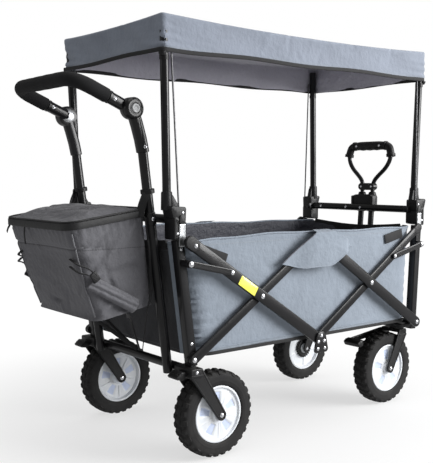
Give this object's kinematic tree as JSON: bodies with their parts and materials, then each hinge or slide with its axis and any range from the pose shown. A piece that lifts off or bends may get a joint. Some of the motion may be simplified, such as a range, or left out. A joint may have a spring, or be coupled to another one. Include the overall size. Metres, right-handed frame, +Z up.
{
  "type": "wagon with pull handle",
  "caption": "Folding four-wheeled wagon with scissor side frames, fabric tub, roof canopy, pull handle, tilting push handle and a rear storage bag.",
  "frame": {"origin": "on the floor under the middle of the whole length and width", "axes": "+X towards the pull handle, +Y to the wagon's left, +Z up"},
  "size_m": [1.1219, 0.511, 0.983],
  "materials": {
    "steel": "satin black paint",
    "silver": "bright",
    "plastic": "matt moulded",
    "tyre": "moulded tread",
    "hub": "white, satin",
    "foam": "soft foam",
    "cloth": "woven polyester",
    "bag_cloth": "woven polyester",
    "canopy_cloth": "woven polyester"
  },
  "bodies": {
    "rear_end": {"rear_post_l": "steel", "rear_post_r": "steel", "rear_upper_crossbar": "steel", "rear_lower_crossbar": "steel", "rear_bracket_l": "plastic", "rear_bracket_r": "plastic", "rear_fork_l": "plastic", "rear_fork_r": "plastic", "push_leg_l": "steel", "push_leg_r": "steel", "canopy_post_rear_l": "steel", "canopy_post_rear_r": "steel", "tub_fabric": "cloth", "floor_mat": "canopy_cloth", "canopy_fabric": "canopy_cloth", "storage_bag": "bag_cloth"},
    "bars_rear_rising": {"bar_rear_rising_l": "steel", "bar_rear_rising_r": "steel"},
    "bars_rear_falling": {"bar_rear_falling_l": "steel", "bar_rear_falling_r": "steel"},
    "bars_front_falling": {"bar_front_falling_l": "steel", "bar_front_falling_r": "steel"},
    "bars_front_rising": {"bar_front_rising_l": "steel", "bar_front_rising_r": "steel", "rivet_plate_l": "steel", "rivet_plate_r": "steel"},
    "front_end": {"front_frame": "steel", "front_upper_crossbar": "steel", "front_bracket_l": "plastic", "front_bracket_r": "plastic", "canopy_post_front_l": "steel", "canopy_post_front_r": "steel"},
    "rear_links": {"rear_link_l": "steel", "rear_link_r": "steel"},
    "front_links": {"front_link_l": "steel", "front_link_r": "steel"},
    "push_handle": {"push_bar": "steel", "push_grip": "foam"},
    "pull_handle": {"pull_tubes": "steel", "pull_housing": "plastic"},
    "pull_slider": {"pull_loop": "steel", "pull_grip": "foam"},
    "lid": {"bag_lid": "bag_cloth"},
    "rear_wheel_l": {"rear_tyre_l": "tyre", "rear_hub_l": "hub"},
    "rear_pedal_l": {"rear_brake_l": "plastic"},
    "caster_l": {"caster_fork_l": "plastic"},
    "front_wheel_l": {"front_tyre_l": "tyre", "front_hub_l": "hub"},
    "caster_pedal_l": {"caster_brake_l": "plastic"},
    "button_l": {"tilt_button_l": "silver"},
    "rear_wheel_r": {"rear_tyre_r": "tyre", "rear_hub_r": "hub"},
    "rear_pedal_r": {"rear_brake_r": "plastic"},
    "caster_r": {"caster_fork_r": "plastic"},
    "front_wheel_r": {"front_tyre_r": "tyre", "front_hub_r": "hub"},
    "caster_pedal_r": {"caster_brake_r": "plastic"},
    "button_r": {"tilt_button_r": "silver"}
  },
  "joints": [
    {"name": "fold", "type": "hinge", "parent": "rear_end", "child": "bars_rear_rising", "pos_m": [-0.29699, 0, 0.2335], "axis": [0, -1, 0], "range_deg": [0, 32.5], "deforming": ["tub_fabric", "floor_mat", "canopy_fabric"]},
    {"name": "fold_middle_top", "type": "hinge", "parent": "bars_rear_rising", "child": "bars_front_falling", "pos_m": [0.08501, 0, 0.485], "axis": [0, -1, 0], "range_deg": [-66, 1]},
    {"name": "fold_front", "type": "hinge", "parent": "bars_front_falling", "child": "front_end", "pos_m": [0.46701, 0, 0.2335], "axis": [0, -1, 0], "range_deg": [-1, 33.5]},
    {"name": "fold_rear_cross", "type": "hinge", "parent": "bars_rear_rising", "child": "bars_rear_falling", "pos_m": [-0.10599, 0, 0.35925], "axis": [0, -1, 0], "range_deg": [-66, 1]},
    {"name": "fold_front_cross", "type": "hinge", "parent": "bars_front_falling", "child": "bars_front_rising", "pos_m": [0.27601, 0, 0.35925], "axis": [0, -1, 0], "range_deg": [-1, 66]},
    {"name": "fold_rear_links", "type": "hinge", "parent": "rear_end", "child": "rear_links", "pos_m": [-0.31799, 0, 0.4492], "axis": [0, -1, 0], "range_deg": [-1, 70]},
    {"name": "fold_front_links", "type": "hinge", "parent": "front_end", "child": "front_links", "pos_m": [0.48801, 0, 0.4492], "axis": [0, 1, 0], "range_deg": [-1, 70]},
    {"name": "rear_wheel_spin_l", "type": "hinge", "parent": "rear_end", "child": "rear_wheel_l", "pos_m": [-0.22799, 0.213, 0.1], "axis": [0, 1, 0], "continuous": true},
    {"name": "rear_brake_press_l", "type": "hinge", "parent": "rear_end", "child": "rear_pedal_l", "pos_m": [-0.31879, 0.213, 0.2035], "axis": [0, -1, 0], "range_deg": [0, 14]},
    {"name": "caster_swivel_l", "type": "hinge", "parent": "front_end", "child": "caster_l", "pos_m": [0.46001, 0.165, 0.2065], "axis": [0, 0, 1], "continuous": true},
    {"name": "front_wheel_spin_l", "type": "hinge", "parent": "caster_l", "child": "front_wheel_l", "pos_m": [0.41701, 0.165, 0.1], "axis": [0, 1, 0], "continuous": true},
    {"name": "caster_brake_press_l", "type": "hinge", "parent": "caster_l", "child": "caster_pedal_l", "pos_m": [0.44801, 0.1316, 0.1935], "axis": [0, -1, 0], "range_deg": [0, 9]},
    {"name": "tilt_button_press_l", "type": "slide", "parent": "rear_end", "child": "button_l", "axis": [0, -1, 0], "range_m": [0, 0.003], "stiffness_N_per_m": 800},
    {"name": "rear_wheel_spin_r", "type": "hinge", "parent": "rear_end", "child": "rear_wheel_r", "pos_m": [-0.22799, -0.213, 0.1], "axis": [0, 1, 0], "continuous": true},
    {"name": "rear_brake_press_r", "type": "hinge", "parent": "rear_end", "child": "rear_pedal_r", "pos_m": [-0.31879, -0.213, 0.2035], "axis": [0, -1, 0], "range_deg": [0, 14]},
    {"name": "caster_swivel_r", "type": "hinge", "parent": "front_end", "child": "caster_r", "pos_m": [0.46001, -0.165, 0.2065], "axis": [0, 0, 1], "continuous": true},
    {"name": "front_wheel_spin_r", "type": "hinge", "parent": "caster_r", "child": "front_wheel_r", "pos_m": [0.41701, -0.165, 0.1], "axis": [0, 1, 0], "continuous": true},
    {"name": "caster_brake_press_r", "type": "hinge", "parent": "caster_r", "child": "caster_pedal_r", "pos_m": [0.44801, -0.1316, 0.1935], "axis": [0, -1, 0], "range_deg": [0, 9]},
    {"name": "tilt_button_press_r", "type": "slide", "parent": "rear_end", "child": "button_r", "axis": [0, 1, 0], "range_m": [0, 0.003], "stiffness_N_per_m": 800},
    {"name": "push_tilt", "type": "hinge", "parent": "rear_end", "child": "push_handle", "pos_m": [-0.40099, 0, 0.784], "axis": [0, 1, 0], "range_deg": [-20, 60]},
    {"name": "pull_swing", "type": "hinge", "parent": "front_end", "child": "pull_handle", "pos_m": [0.50851, 0, 0.2262], "axis": [0, 1, 0], "range_deg": [0, 75]},
    {"name": "pull_extend", "type": "slide", "parent": "pull_handle", "child": "pull_slider", "axis": [0.0755, 0, 0.9971], "range_m": [0, 0.24]},
    {"name": "lid_open", "type": "hinge", "parent": "rear_end", "child": "lid", "pos_m": [-0.36314, 0, 0.5763], "axis": [0, 1, 0], "range_deg": [0, 55]}
  ],
  "couplings": [
    {"joint": "fold_middle_top", "follows": "fold", "ratio": -2},
    {"joint": "fold_front", "follows": "fold", "ratio": 1},
    {"joint": "fold_rear_cross", "follows": "fold", "ratio": -2},
    {"joint": "fold_front_cross", "follows": "fold", "ratio": 2},
    {"joint": "fold_rear_links", "follows": "fold", "ratio": 2.11},
    {"joint": "fold_front_links", "follows": "fold", "ratio": 2.11}
  ]
}
